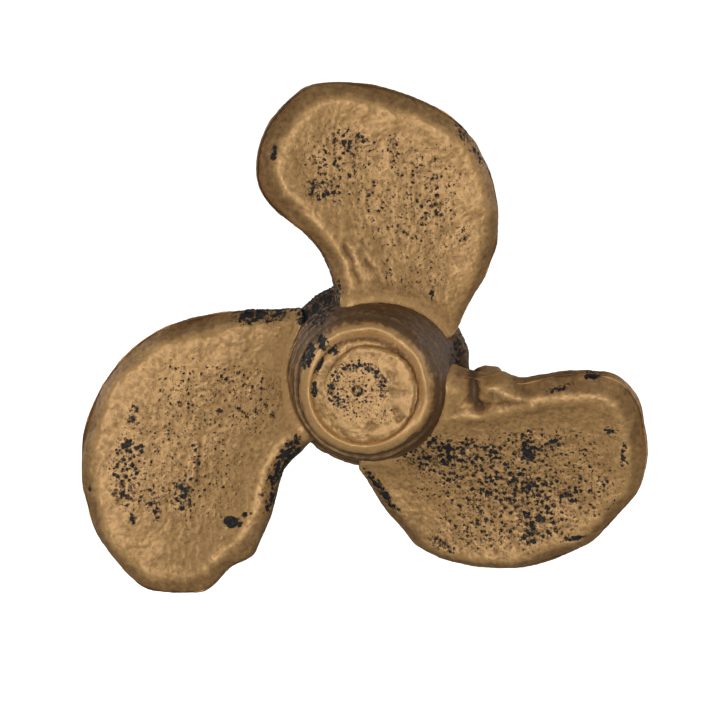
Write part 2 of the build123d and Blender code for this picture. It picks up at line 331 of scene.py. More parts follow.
@dataclass(frozen=True)
class GoldPaint:
    """Gold bronze paint on rough black cast iron: dull in patches and gone in spots, with painted shade on
    slopes and in hollows and a painted highlight on crests.
    """

    name: str = "gold_paint"
    # crest is a paler gold, for random tone and for the painted highlight on crests; brown is for dull paint
    # and for painted shade; umber is for the fringes of bare spots and for painted deep shade
    crest: Colour = (0.68, 0.40, 0.155)
    gold: Colour = (0.56, 0.318, 0.118)
    brown: Colour = (0.27, 0.142, 0.052)
    umber: Colour = (0.085, 0.048, 0.026)
    iron: Colour = (0.011, 0.012, 0.013)
    metal: float = 0.3
    rough: float = 0.5
    blotch_size: float = 6.0
    mottle_size: float = 1.1
    grain_size: float = 0.45
    grain_height: float = 0.06
    dent_height: float = 0.06
    chip_depth: float = 0.07
    spacing: float = 0.85
    chip_edge: float = 12.0
    fringe_width: float = 0.07
    speck_share: float = 0.55
    speck_edge: float = 9.0
    base_dullness: float = 0.10

    def build(self) -> bpy.types.Material:
        """Makes the material from the attributes that the castings carry: worn, the painted shade, and
        hollow, which gives painted shade in hollows and a painted highlight on crests.

        Returns:
            The material.
        """
        material, graph = new_material(self.name)
        place = graph.place()
        worn = graph.attribute("worn")
        painted_shade = graph.attribute("painted_shade")
        hollow = graph.attribute("hollow")
        blotch = graph.noise(place, self.blotch_size, detail=3.0, rough=0.55)
        mottle = graph.noise(place, self.mottle_size, detail=3.0, rough=0.6)
        grain = graph.noise(place, self.grain_size, detail=2.0, rough=0.6)
        inside = bare_spots(graph, place, worn, self.spacing)
        specks = bare_spots(graph, place, worn * 0.80 + 0.36, self.spacing * self.speck_share, least=0.1)
        black = ((inside + (grain - 0.5) * 0.25) * self.chip_edge + 0.5).clamped()
        fringe = ((inside + self.fringe_width) * self.speck_edge).clamped() * 0.75
        # Paler gold at random, plus a painted highlight on crests, where hollow is below 0
        pale_tone_and_highlight = (mottle - 0.5) * 1.5 + (blotch - 0.5) * 0.8 + (grain - 0.5) * 2.2 - hollow * 0.5 + 0.47
        patchy = (blotch - 0.5) * 1.0 + (0.5 - mottle) * 0.5
        # Brown where the paint is dull at random, plus painted shade from the painted-shade attribute and in
        # hollows
        dull_and_shade = (self.base_dullness + painted_shade * 0.62 + hollow * 0.6 + patchy * (1.0 - painted_shade * 0.5)).clamped()
        # Umber painted deep shade where the painted shade passes 1, and in hollows
        deep_shade = (painted_shade - 1.0 + hollow * 0.4).clamped() * 0.75
        paint = graph.mix(dull_and_shade, graph.mix(pale_tone_and_highlight.clamped(), self.gold, self.crest), self.brown)
        paint = graph.mix(deep_shade, paint, self.umber)
        paint = graph.mix((fringe + (specks * self.speck_edge).clamped() * 0.8).clamped(), paint, self.umber)
        colour = graph.mix(black, paint, self.iron)
        relief = (grain - 0.5) * (self.grain_height * MM) + (mottle - 0.5) * (self.dent_height * MM)
        relief = relief - black * (self.chip_depth * MM)
        rough = (self.rough + (grain - 0.5) * 0.35 + dull_and_shade * 0.08 + black * 0.12).clamped()
        close_material(graph, colour, rough, (1.0 - black) * self.metal, relief)
        return material


@dataclass(frozen=True)
class TurnedMetal:
    """Bare metal with the fine rings that a lathe leaves round the shaft axis."""

    name: str
    pale: Colour
    dark: Colour
    rough: float = 0.34
    ring_pitch: float = 0.22
    ring_height: float = 0.006
    groove_pitch: float = 1.5
    stain_size: float = 3.5
    scuff_size: float = 0.6
    spray: Colour = (0.50, 0.28, 0.10)
    spray_from: float = 100.0

    def build(self) -> bpy.types.Material:
        """Makes the material from Object coordinates.

        Returns:
            The material.
        """
        material, graph = new_material(self.name)
        place = graph.place()
        split = graph.node("ShaderNodeSeparateXYZ", inputs={0: place})
        across, along, upward = (Wire(graph, socket) for socket in split.outputs)
        radius = (across * across + upward * upward) ** 0.5
        rings_at = graph.wire("ShaderNodeCombineXYZ", inputs={0: radius, 1: along})
        rings = graph.noise(rings_at, self.ring_pitch, detail=2.0, rough=0.6)
        grooves = graph.noise(rings_at, self.groove_pitch, detail=3.0, rough=0.75)
        stain = graph.noise(place, self.stain_size, detail=4.0, rough=0.6)
        scuff = graph.noise(place, self.scuff_size, detail=3.0, rough=0.65)
        tarnish = ((stain - 0.42) * 3.2 + (scuff - 0.5) * 1.2).clamped()
        turned = (rings - 0.5) * 0.6 + (grooves - 0.5) * 3.2
        colour = graph.mix((tarnish * 0.75 + turned).clamped(), self.pale, self.dark)
        painted = (radius / MM - self.spray_from) * 0.45 + (scuff - 0.5) * 5.0 + (stain - 0.5) * 3.0
        painted = painted.clamped()
        colour = graph.mix(painted * 0.85, colour, self.spray)
        relief = turned * (self.ring_height * 3.0 * MM) + (scuff - 0.5) * (self.ring_height * 0.7 * MM)
        rough = (self.rough + tarnish * 0.22 + turned * 0.2 + painted * 0.12).clamped()
        close_material(graph, colour, rough, 1.0 - tarnish * 0.25 - painted * 0.5, relief)
        return material


@dataclass(frozen=True)
class Fibre:
    """Red-brown vulcanised fibre, slightly oily."""

    name: str = "vulcanised_fibre"
    pale: Colour = (0.30, 0.115, 0.055)
    dark: Colour = (0.12, 0.045, 0.025)
    strand_size: float = 0.3
    strand_height: float = 0.02
    stain_size: float = 2.5

    def build(self) -> bpy.types.Material:
        """Makes the material from Object coordinates.

        Returns:
            The material.
        """
        material, graph = new_material(self.name)
        place = graph.place()
        strands = graph.noise(place, self.strand_size, detail=4.0, rough=0.7, twist=0.8)
        stain = graph.noise(place, self.stain_size, detail=2.0)
        colour = graph.mix(((strands - 0.5) * 2.0 + stain).clamped(), self.pale, self.dark)
        relief = (strands - 0.5) * (self.strand_height * MM)
        close_material(graph, colour, (0.6 + (strands - 0.5) * 0.5).clamped(), 0.0, relief)
        return material


@dataclass(frozen=True)
class Backdrop:
    """A matt, near-white floor that shows no shadow."""

    name: str = "pale_floor"
    pale: Colour = (0.93, 0.93, 0.925)
    paler: Colour = (0.96, 0.96, 0.96)
    cloud_size: float = 400.0
    glow: float = 1.0

    def build(self) -> bpy.types.Material:
        """Makes the material.

        Returns:
            The material.
        """
        material, graph = new_material(self.name)
        place = graph.place()
        cloud = graph.noise(place, self.cloud_size, detail=1.0)
        colour = graph.mix(cloud * 0.3, self.pale, self.paler)
        white = (1.0, 1.0, 1.0, 1.0)
        close_material(graph, colour, 0.95, 0.0, None, Emission_Color=white, Emission_Strength=self.glow)
        return material


# ---- mesh help


def merged_copy(node: str, name: str) -> bpy.types.Object:
    """Copies a CAD node's mesh into a new object and joins its loose triangles.

    Args:
        node: the CAD node.
        name: the new object's name.

    Returns:
        The new object, at the origin.
    """
    shell = bmesh.new()
    shell.from_mesh(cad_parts[node].data)
    bmesh.ops.remove_doubles(shell, verts=shell.verts, dist=DOUBLES_APART)
    mesh = bpy.data.meshes.new(name)
    shell.to_mesh(mesh)
    shell.free()
    copy = bpy.data.objects.new(name, mesh)
    bpy.context.scene.collection.objects.link(copy)
    return copy


def baked(item: bpy.types.Object) -> None:
    """Turns an object's modifiers into a plain mesh and removes them.

    Args:
        item: the object.
    """
    bpy.context.view_layer.update()
    depsgraph = bpy.context.evaluated_depsgraph_get()
    plain = bpy.data.meshes.new_from_object(item.evaluated_get(depsgraph))
    plain.name = item.name
    item.modifiers.clear()
    item.data = plain


def read_points(mesh: bpy.types.Mesh) -> tuple[Array, Array]:
    """The places and normals of a mesh's points.

    Args:
        mesh: the mesh.

    Returns:
        Places in millimetres and unit normals, one row each.
    """
    count = len(mesh.vertices)
    places = np.empty(count * 3, dtype=np.float32)
    normals = np.empty(count * 3, dtype=np.float32)
    mesh.vertices.foreach_get("co", places)
    mesh.vertex_normals.foreach_get("vector", normals)
    return places.reshape(-1, 3).astype(float) / MM, normals.reshape(-1, 3).astype(float)


def write_points(mesh: bpy.types.Mesh, places: Array) -> None:
    """Moves a mesh's points to these places, in millimetres."""
    mesh.vertices.foreach_set("co", (places * MM).astype(np.float32).ravel())
    mesh.update()


def write_attribute(mesh: bpy.types.Mesh, name: str, values: Array) -> None:
    """Keeps one number for each point of a mesh under this name."""
    kept = mesh.attributes.get(name) or mesh.attributes.new(name, "FLOAT", "POINT")
    kept.data.foreach_set("value", values.astype(np.float32))


def hollows(mesh: bpy.types.Mesh, rounds: int, full: float) -> Array:
    """How far each point lies below the surface around it.

    Args:
        mesh: the mesh.
        rounds: how many times the comparison surface is smoothed.
        full: the depth that counts as 1, in millimetres.

    Returns:
        Values from -1 on a crest to 1 in a hollow.
    """
    places, normals = read_points(mesh)
    pairs = np.empty(len(mesh.edges) * 2, dtype=np.int32)
    mesh.edges.foreach_get("vertices", pairs)
    first, second = pairs.reshape(-1, 2).T
    count = len(places)
    links = np.bincount(first, minlength=count) + np.bincount(second, minlength=count)
    smooth = places.copy()
    for _ in range(rounds):
        total = [np.bincount(first, smooth[second, axis], count)
                 + np.bincount(second, smooth[first, axis], count) for axis in range(3)]
        smooth = 0.4 * smooth + 0.6 * np.stack(total, axis=1) / links[:, None]
    return np.clip(((smooth - places) * normals).sum(axis=1) / full, -1.0, 1.0)


def step(low: float, high: float, values: Array) -> Array:
    """A smooth rise from 0 at low to 1 at high, or a fall if high is the smaller."""
    share = np.clip((values - low) / (high - low), 0.0, 1.0)
    return share * share * (3.0 - 2.0 * share)


def hump(values: Array, centre: float, width: float) -> Array:
    """A smooth hump of height 1 about a centre."""
    return np.exp(-(((values - centre) / width) ** 2))


def round_shaft(places: Array) -> tuple[Array, Array, Array]:
    """Where points lie round the shaft.

    Args:
        places: the points.

    Returns:
        Their distance from its axis, their bearing in radians, and the unit vectors away from it.
    """
    radius = np.hypot(places[:, 0], places[:, 2])
    around = np.arctan2(places[:, 2], places[:, 0])
    outward = np.stack([places[:, 0] / radius, np.zeros(len(places)), places[:, 2] / radius], axis=1)
    return radius, around, outward


def towards(around: Array, bearing: float) -> Array:
    """How near each bearing is to one given in degrees: 1 there and 0 opposite."""
    return 0.5 + 0.5 * np.cos(around - math.radians(bearing))


def held_inside(places: Array, room: float = 0.5) -> Array:
    """Draws points that come near the object's own box back inside it.

    Args:
        places: the points.
        room: how far inside the box this starts.

    Returns:
        The new places.
    """
    low, high = (np.array(corner) / MM for corner in CAD_BOX)
    over = np.maximum(places - (high - room), 0.0)
    under = np.maximum((low + room) - places, 0.0)
    return places - over + room * np.tanh(over / room) + under - room * np.tanh(under / room)


def finish_piece(item: bpy.types.Object, body: Body, slot: Slot, *nodes: str) -> None:
    """Tells the frame about a finished piece.

    Args:
        item: the piece.
        body: what it rides on.
        slot: the record's slot for its finish; not used.
        nodes: the CAD nodes that it stands for.
    """
    if nodes:
        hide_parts(*nodes)
    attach(item, body.value)
    log.info("%s: %d faces", item.name, len(item.data.polygons))


# ---- castings


@dataclass(frozen=True)
class Patch:
    """An ellipse, seen from the nose, where the paint is worn; wraps means that it goes round the edge."""

    x: float
    z: float
    half_width: float
    half_height: float
    bare: float
    tilt: float = 0.0
    wraps: bool = False

    def weight(self, places: Array, facing: Array) -> Array:
        """How worn each point is.

        Args:
            places: the points.
            facing: 1 where a point faces the nose, 0 where it doesn't.

        Returns:
            Values from 0 to bare.
        """
        turn = math.radians(self.tilt)
        across, upward = places[:, 0] - self.x, places[:, 2] - self.z
        along = (across * math.cos(turn) + upward * math.sin(turn)) / self.half_width
        aside = (upward * math.cos(turn) - across * math.sin(turn)) / self.half_height
        inside = np.exp(-0.7 * (along * along + aside * aside) ** 2)
        return self.bare * inside * (1.0 if self.wraps else facing)


@dataclass(frozen=True)
class Fold:
    """A raised fold, or a crack if its height is below 0, along points seen from the nose."""

    points: tuple[Pair, ...]
    width: float
    height: float

    def lift(self, places: Array) -> Array:
        """How far points are raised.

        Args:
            places: the points.

        Returns:
            Heights in millimetres.
        """
        seen = places[:, (0, 2)]
        nearest = np.full(len(seen), np.inf)
        for start, end in zip(self.points, self.points[1:]):
            way = np.subtract(end, start)
            share = np.clip((seen - start) @ way / (way @ way), 0.0, 1.0)
            nearest = np.minimum(nearest, np.linalg.norm(seen - start - share[:, None] * way, axis=1))
        return self.height * np.exp(-((nearest / self.width) ** 2))


def sized_tree(name: str, sizes: list[str]) -> tuple[Graph, dict[str, Wire]]:
    """Starts a geometry tree with named inputs.

    Args:
        name: what it is called.
        sizes: the titles of its number inputs.

    Returns:
        The empty tree, and a Wire for each input: Geometry, every size and Finish.
    """
    tree = bpy.data.node_groups.new(name, "GeometryNodeTree")
    kinds = [("Geometry", "Geometry"), *((title, "Float") for title in sizes), ("Finish", "Material")]
    for title, kind in kinds:
        tree.interface.new_socket(title, in_out="INPUT", socket_type=f"NodeSocket{kind}")
    tree.interface.new_socket("Geometry", in_out="OUTPUT", socket_type="NodeSocketGeometry")
    graph = Graph(tree)
    entry = graph.node("NodeGroupInput")
    return graph, {socket.name: Wire(graph, socket) for socket in entry.outputs if socket.name}


def close_tree(graph: Graph, shape: Wire, finish: Wire) -> bpy.types.NodeTree:
    """Ends a geometry tree with real geometry and its material.

    Args:
        graph: the tree.
        shape: the geometry that it makes.
        finish: the material that it sets.

    Returns:
        The finished tree.
    """
    solid = graph.wire("GeometryNodeRealizeInstances", inputs={0: shape})
    dressed = graph.wire("GeometryNodeSetMaterial", inputs={"Geometry": solid, "Material": finish})
    graph.node("NodeGroupOutput", inputs={0: dressed})
    return graph.tree


def run_tree(item: bpy.types.Object, tree: bpy.types.NodeTree, values: dict[str, Any]) -> None:
    """Runs a geometry tree on an object and keeps the result as its plain mesh.

    Args:
        item: the object.
        tree: the tree.
        values: what its named inputs get.
    """
    modifier = item.modifiers.new(tree.name, "NODES")
    modifier.node_group = tree
    for socket in tree.interface.items_tree:
        if socket.item_type == "SOCKET" and socket.in_out == "INPUT" and socket.name in values:
            modifier[socket.identifier] = values[socket.name]
    baked(item)


@dataclass(frozen=True)
class Nudge:
    """Moves the outline near a point, seen from the nose, to the right and up."""

    x: float
    z: float
    reach: float
    right: float
    up: float

    def shift(self, places: Array) -> Array:
        """How far each point moves, in millimetres."""
        near = hump(np.hypot(places[:, 0] - self.x, places[:, 2] - self.z), 0.0, self.reach)
        return near[:, None] * np.array([self.right, 0.0, self.up])


@dataclass(frozen=True)
class CastSkin:
    """The uneven skin that a sand mould leaves, put on a mesh by Geometry Nodes."""

    lump_size: float = 7.5
    lump_height: float = 0.55
    dent_size: float = 2.3
    dent_height: float = 0.30
    grain_size: float = 0.75
    grain_height: float = 0.13
    pit_depth: float = 0.16
    pit_spacing: float = 0.85
    seed: float = 0.0

    @staticmethod
    def tree() -> bpy.types.NodeTree:
        """Builds the tree.

        Returns:
            A geometry tree whose sizes, in metres, seed and finish are named inputs.
        """
        graph, given = sized_tree("cast_skin", [
            "Lump Size", "Lump Height", "Dent Size", "Dent Height", "Grain Size", "Grain Height",
            "Pit Depth", "Pit Spacing", "Seed"])
        place = graph.wire("GeometryNodeInputPosition")
        normal = graph.wire("GeometryNodeInputNormal")
        skin, worn = (graph.wire("GeometryNodeInputNamedAttribute", {"data_type": "FLOAT"}, {"Name": name})
                      for name in ("skin", "worn"))
        shifted = graph.vector("ADD", place, given["Seed"])
        rise: Value = 0.0
        for layer, detail in (("Lump", 1.0), ("Dent", 2.0), ("Grain", 2.5)):
            waves = graph.wire("ShaderNodeTexNoise", {"noise_dimensions": "3D"}, {
                "Vector": shifted, "Scale": 1.0 / given[f"{layer} Size"], "Detail": detail,
                "Roughness": 0.55})
            rise = (waves - 0.5) * given[f"{layer} Height"] + rise
        pits = ((bare_spots(graph, place, worn, given["Pit Spacing"] / MM) + 0.02) * 16.0).clamped()
        rise = rise * 2.0 - pits * given["Pit Depth"]
        moved = graph.wire("GeometryNodeSetPosition", inputs={
            "Geometry": given["Geometry"], "Offset": graph.vector("SCALE", normal, rise * skin)})
        return close_tree(graph, moved, given["Finish"])

    def put_on(self, item: bpy.types.Object, tree: bpy.types.NodeTree, finish: bpy.types.Material) -> None:
        """Gives a piece this skin.

        Args:
            item: the piece.
            tree: the tree that CastSkin.tree built.
            finish: its paint.
        """
        sizes = {name.replace("_", " ").title(): size * MM for name, size in vars(self).items()}
        run_tree(item, tree, {**sizes, "Seed": self.seed, "Finish": finish})


@dataclass
class Casting:
    """A painted casting that stands for one CAD node, with its rough skin and worn paint."""

    node: str
    voxel: float = 0.24
    smoothing: int = 4
    patches: tuple[Patch, ...] = ()
    folds: tuple[Fold, ...] = ()
    nudges: tuple[Nudge, ...] = ()
    back_seed: int = 1
    back_spots: int = 0
    base_wear: float = 0.10
    hollow_rounds: int = 14
    hollow_depth: float = 0.10
    skin: CastSkin = field(default_factory=CastSkin)

    def shaped(self, places: Array, normals: Array) -> tuple[Array, dict[str, Array]]:
        """Works the plain casting into its real shape.

        Args:
            places: its points, in millimetres.
            normals: their normals.

        Returns:
            The new places, and the attributes skin and painted shade for each point.
        """
        even = np.ones(len(places))
        return places, {"skin": even, "painted_shade": even * 0.0}

    def worn(self, places: Array, normals: Array) -> Array:
        """How worn the paint is.

        Args:
            places: the points.
            normals: their normals.

        Returns:
            Values from 0 to about 1.5.
        """
        facing = step(*FACING, -normals[:, 1])
        wear = np.full(len(places), self.base_wear)
        for patch in self.patches:
            wear = np.maximum(wear, patch.weight(places, facing))
        return np.maximum(wear, self.back_wear(places, normals))

    def back_wear(self, places: Array, normals: Array) -> Array:
        """Worn spots scattered over the side that faces away from the nose.

        Args:
            places: the points.
            normals: their normals.

        Returns:
            Values from 0 to about 1.
        """
        # Light wear that drifts over the whole back, then spots at seeded places
        chance = np.random.default_rng(self.back_seed)
        low, high = places.min(axis=0), places.max(axis=0)
        away = step(*FACING, normals[:, 1])
        drift = np.sin(places[:, 0] / 5.0 + self.back_seed)
        drift *= np.sin(places[:, 2] / 4.0 + 0.7 * self.back_seed)
        wear = away * (0.36 + 0.14 * drift)
        for _ in range(self.back_spots):
            x, z = chance.uniform(low[0], high[0]), chance.uniform(low[2], high[2])
            width, height, bare, tilt = chance.uniform((1.5, 1.0, 0.45, 0.0), (7.0, 4.0, 0.95, 180.0))
            wear = np.maximum(wear, Patch(x, z, width, height, bare, tilt).weight(places, away))
        return wear

    def build(self, tree: bpy.types.NodeTree, finish: bpy.types.Material) -> bpy.types.Object:
        """Makes the piece.

        Args:
            tree: the cast skin's geometry tree.
            finish: its paint.

        Returns:
            The finished piece.
        """
        item = merged_copy(self.node, f"{self.node}_casting")
        remesh = item.modifiers.new("even_mesh", "REMESH")
        remesh.mode = "VOXEL"
        remesh.voxel_size = self.voxel * MM / FINE_MESH
        remesh.use_smooth_shade = True
        smooth = item.modifiers.new("soft_edges", "SMOOTH")
        smooth.factor = 0.5
        smooth.iterations = self.smoothing
        baked(item)
        places, normals = read_points(item.data)
        places, attributes = self.shaped(places, normals)
        attributes["worn"] = self.worn(places, normals)
        for nudge in self.nudges:
            places = places + nudge.shift(places)
        write_points(item.data, places)
        for name, values in attributes.items():
            write_attribute(item.data, name, values)
        self.skin.put_on(item, tree, finish)
        places, _ = read_points(item.data)
        places = held_inside(places)
        write_points(item.data, places)
        write_attribute(item.data, "hollow", hollows(item.data, self.hollow_rounds, self.hollow_depth))
        item.data.polygons.foreach_set("use_smooth", np.ones(len(item.data.polygons), dtype=bool))
        finish_piece(item, Body.TURNING, Slot.PAINTED, self.node)
        return item


def wall_gap(places: Array) -> Array:
    """How far points stand outside the hub's outer wall.

    Args:
        places: the points.

    Returns:
        Distances in millimetres, below 0 inside the wall.
    """
    radii, aheads = zip(*HUB_WALL)
    radius = np.hypot(places[:, 0], places[:, 2])
    return radius - np.interp(-places[:, 1], aheads, radii)


@dataclass
class Blade(Casting):
    """One blade: a shallow dish inside a raised rim, swelling into the hub at its root, with painted shade on
    its edge slopes and in its creases.

    rim_ways gives the rim's width and height at bearings round the blade's middle, in degrees.
    """

    angle: float = 0.0
    rim_ways: tuple[tuple[float, float, float], ...] = ((0.0, 2.9, 0.3),)
    crest_width: float = 1.9
    wander: float = 0.10
    softness: float = 0.45
    dirt_share: float = 1.15
    dish: float = 0.7
    dish_width: float = 8.0
    cad_round: float = 2.4
    bevel: float = 1.0
    swell: float = 1.3
    swell_reach: float = 4.0
    tuck: float = 0.6
    root_radius: float = 18.4
    stub_at: Optional[Pair] = None
    stub_reach: float = 3.6
    grid: float = 0.5
    face_turn: Pair = (0.0, 0.35)
    root_fade: Pair = (1.0, 7.0)
    swell_fade: Pair = (-3.0, 1.0)
    tuck_fade: Pair = (0.5, 0.15)
    rim_fade: Pair = (0.5, -0.9)
    rim_root: Pair = (0.0, 2.0)
    skin_root: Pair = (-0.2, 1.2)

    def flat_view(self, places: Array) -> tuple[Array, Array, Array]:
        """The blade's own coordinates.

        Args:
            places: points in the shared frame.

        Returns:
            Distance out, distance across the mean pitch, and the direction that the face looks in.
        """
        turn = math.radians(self.angle)
        out = places[:, 0] * math.cos(turn) + places[:, 2] * math.sin(turn)
        across = places[:, 2] * math.cos(turn) - places[:, 0] * math.sin(turn)
        lean, rise = math.sin(MEAN_PITCH), math.cos(MEAN_PITCH)
        along = across * rise + (-places[:, 1] - BLADE_HEIGHT) * lean
        face = np.array([lean * math.sin(turn), -rise, -lean * math.cos(turn)])
        return out, along, face

    def rim_distance(self, out: Array, along: Array, radius: Array) -> Array:
        """How far in from the blade's free edge each point lies.

        Args:
            out: distance out.
            along: distance across.
            radius: distance from the shaft axis.

        Returns:
            Distances in millimetres.
        """
        # Which cells of a grid across the blade are filled, and which of those are on its free edge
        margin = 3
        start = np.array([out.min(), along.min()]) - margin * self.grid
        cells = ((np.stack([out, along], axis=1) - start) / self.grid).astype(int)
        shape = tuple(cells.max(axis=0) + margin + 1)
        filled = np.zeros(shape, dtype=bool)
        filled[cells[:, 0], cells[:, 1]] = True
        reach = np.zeros(shape)
        np.maximum.at(reach, (cells[:, 0], cells[:, 1]), radius)
        inner = filled.copy()
        for axis in (0, 1):
            for shift in (-1, 1):
                inner &= np.roll(filled, shift, axis)
        edge = np.argwhere(filled & ~inner & (reach > self.root_radius))
        cells_in = np.argwhere(filled)
        # Each filled cell's distance to the edge, in batches that fit in memory, then smoothed
        gaps = [np.sqrt(((cells_in[first:first + 2000, None] - edge[None]) ** 2).sum(axis=2).min(axis=1))
                for first in range(0, len(cells_in), 2000)]
        distance = np.zeros(shape)
        distance[tuple(cells_in.T)] = np.concatenate(gaps) * self.grid
        for _ in range(3):
            spread = [np.roll(distance, shift, axis) for axis in (0, 1) for shift in (-1, 1)]
            distance = np.where(filled, 0.5 * distance + 0.125 * sum(spread), 0.0)
        # Each point reads the grid between its four nearest cells
        exact = (np.stack([out, along], axis=1) - start) / self.grid - 0.5
        base = np.clip(np.floor(exact).astype(int), 0, np.array(shape) - 2)
        part = np.clip(exact - base, 0.0, 1.0)
        corner = [distance[base[:, 0] + i, base[:, 1] + j] for i in (0, 1) for j in (0, 1)]
        near = corner[0] * (1 - part[:, 1]) + corner[1] * part[:, 1]
        far = corner[2] * (1 - part[:, 1]) + corner[3] * part[:, 1]
        return near * (1 - part[:, 0]) + far * part[:, 0]

    def shaped(self, places: Array, normals: Array) -> tuple[Array, dict[str, Array]]:
        """Dishes the face, raises its rim, swells and tucks the root, and paints shade on the edge slopes and
        in the creases.

        Args:
            places: its points, in millimetres.
            normals: their normals.

        Returns:
            As Casting.shaped gives.
        """
        out, along, face = self.flat_view(places)
        radius, _, outward = round_shaft(places)
        inward = self.rim_distance(out, along, radius)
        facing = step(*self.face_turn, normals @ face)
        gap = wall_gap(places)
        free = step(*self.root_fade, gap)
        middle = np.array([out.mean(), along.mean()])
        around = np.arctan2(along - middle[1], out - middle[0])
        ways, widths, crests = zip(*self.rim_ways)
        band = np.interp(np.degrees(around), ways, widths, period=360.0)
        crest = np.interp(np.degrees(around), ways, crests, period=360.0)
        band = band * (1.0 + self.wander * (np.sin(4.0 * around + self.angle) + 0.8 * np.sin(9.0 * around)))
        uneven = 0.75 + 0.35 * np.sin(6.0 * around + self.angle) * np.sin(11.0 * around)
        lift = crest * uneven * np.exp(-(((inward - band) / self.crest_width) ** 2))
        fallen = np.clip(self.cad_round - inward, 0.0, self.cad_round)
        rounded = self.cad_round - np.sqrt(self.cad_round ** 2 - fallen ** 2)
        beside = np.ones(len(places))
        if self.stub_at:
            apart = np.hypot(places[:, 0] - self.stub_at[0], places[:, 2] - self.stub_at[1])
            beside = 1.0 - hump(apart, 0.0, self.stub_reach)
        slope = np.logaddexp(0.0, (band - inward) / self.softness) * self.softness
        lift += (rounded - self.bevel * slope) * beside
        lift -= self.dish * step(0.0, 1.0, (inward - band) / self.dish_width)
        lift *= free
        swollen = np.clip(1.0 - gap / self.swell_reach, 0.0, 1.0) ** 2 * step(*self.swell_fade, gap)
        lift += self.swell * swollen
        # The cracks among the folds get painted shade by their depth
        crease_shade = np.zeros(len(places))
        for fold in self.folds:
            lift += fold.lift(places)
            crease_shade = np.maximum(crease_shade, -fold.lift(places))
        moved = places + face * (lift * facing)[:, None]
        moved -= outward * (step(*self.tuck_fade, np.abs(gap)) * self.tuck)[:, None]
        # Painted shade on the slope outside the raised rim, kept off the root and the stub
        painted_shade = step(*self.rim_fade, inward - band) * step(*self.rim_root, gap) * beside
        skin = (step(*self.skin_root, gap) * 0.85 + 0.15) * (1.0 - 0.4 * painted_shade)
        return moved, {"skin": skin, "painted_shade": np.maximum(painted_shade, np.minimum(crease_shade * self.dirt_share, 1.9))}


@dataclass
class Hub(Casting):
    """The hub: a barrel with turned-in ridges, a skirt behind it and a raised ledge round the nose."""

    ridges: tuple[Pair, ...] = (
        (11.4, 0.20), (13.5, 0.26), (15.0, 0.30), (17.3, 0.24), (18.8, 0.28), (21.0, 0.20))
    ridge_width: float = 0.5
    ridges_towards: float = 185.0
    ledge_radius: float = 11.2
    ledge_outer: float = 0.9
    ledge_inner: float = 1.5
    ledge_height: float = 1.2
    ledge_towards: float = 55.0
    filled_side: tuple[Pair, ...] = (
        (9.6, 1.68), (10.3, 1.44), (10.9, 1.05), (11.5, 0.5), (12.1, -0.15), (12.7, -0.85), (13.3, -0.9))
    cone: float = 0.8
    dark_towards: float = 25.0
    plain_radius: float = 10.4
    rear_plain: float = 4.6
    wall_from: Pair = (11.8, 12.6)
    front_from: Pair = (22.3, 23.7)
    recess_edge: Pair = (9.2, 9.7)
    cone_ahead: Pair = (9.5, 22.0)
    cone_out: Pair = (11.0, 13.0)
    brown_from: Pair = (10.7, 13.3)
    brown_shift: float = 1.2

    def shaped(self, places: Array, normals: Array) -> tuple[Array, dict[str, Array]]:
        """Adds the ridges and the ledge, and paints shade on the barrel wall, darkest towards one side, with
        lighter ridge tops.

        Args:
            places: its points, in millimetres.
            normals: their normals.

        Returns:
            As Casting.shaped gives.
        """
        radius, around, outward = round_shaft(places)
        ahead = -places[:, 1]
        outside = step(0.35, 0.7, (normals * outward).sum(axis=1)) * step(*self.wall_from, radius)
        swirl = 0.25 + 0.75 * towards(around, self.ridges_towards) ** 2
        wander = 0.5 * np.sin(2.0 * around + 0.7) + 0.25 * np.sin(7.0 * around) + 0.12 * np.sin(17.0 * around)
        bulge = np.zeros(len(places))
        for at, height in self.ridges:
            uneven = 0.55 + 0.45 * np.sin(3.0 * around + 2.0 * at)
            bulge += height * uneven * hump(ahead + wander, at, self.ridge_width)
        moved = places + outward * (bulge * swirl * outside)[:, None]
        lean = step(*HALF_TURN, towards(around, self.ledge_towards))
        width = np.where(radius > self.ledge_radius, self.ledge_outer, self.ledge_inner)
        radii, rises = zip(*self.filled_side)
        worn_down = 1.0 + 0.10 * np.sin(5.0 * around + 0.4) + 0.08 * np.sin(12.0 * around)
        off_round = radius + 0.16 * np.sin(3.0 * around + 1.1) + 0.09 * np.sin(8.0 * around)
        raised = self.ledge_height * worn_down * lean * hump(off_round, self.ledge_radius, width)
        raised += (1.0 - lean) * np.interp(radius, radii, rises)
        moved[:, 1] -= raised * step(*self.front_from, ahead) * step(*self.recess_edge, radius)
        narrowed = self.cone * (1.0 - lean) * step(*self.cone_ahead, ahead) * step(*self.cone_out, radius)
        moved -= outward * narrowed[:, None]
        skin = step(self.plain_radius, self.plain_radius + 1.0, radius) * step(3.6, self.rear_plain, ahead)
        # Painted shade on the barrel wall, darkest towards one bearing; past 1 it becomes painted deep shade
        painted_shade = step(*self.brown_from, radius + self.brown_shift * (1.0 - lean)) * (
            1.62 + 0.3 * np.cos(around - math.radians(self.dark_towards)))
        # Rings across the front that are darker and lighter in turn, stronger away from the ledge
        streaks = np.sin(5.5 * radius + 1.2 * np.sin(2.0 * around) + 0.6 * np.sin(5.0 * around))
        painted_shade += (0.10 + 0.18 * (1.0 - lean)) * streaks * step(10.0, 11.0, radius)
        # Painted shade on the outer wall, lighter on the ridge tops
        painted_shade += outside * swirl * (0.35 - 2.4 * bulge)
        return moved, {"skin": skin, "painted_shade": painted_shade}


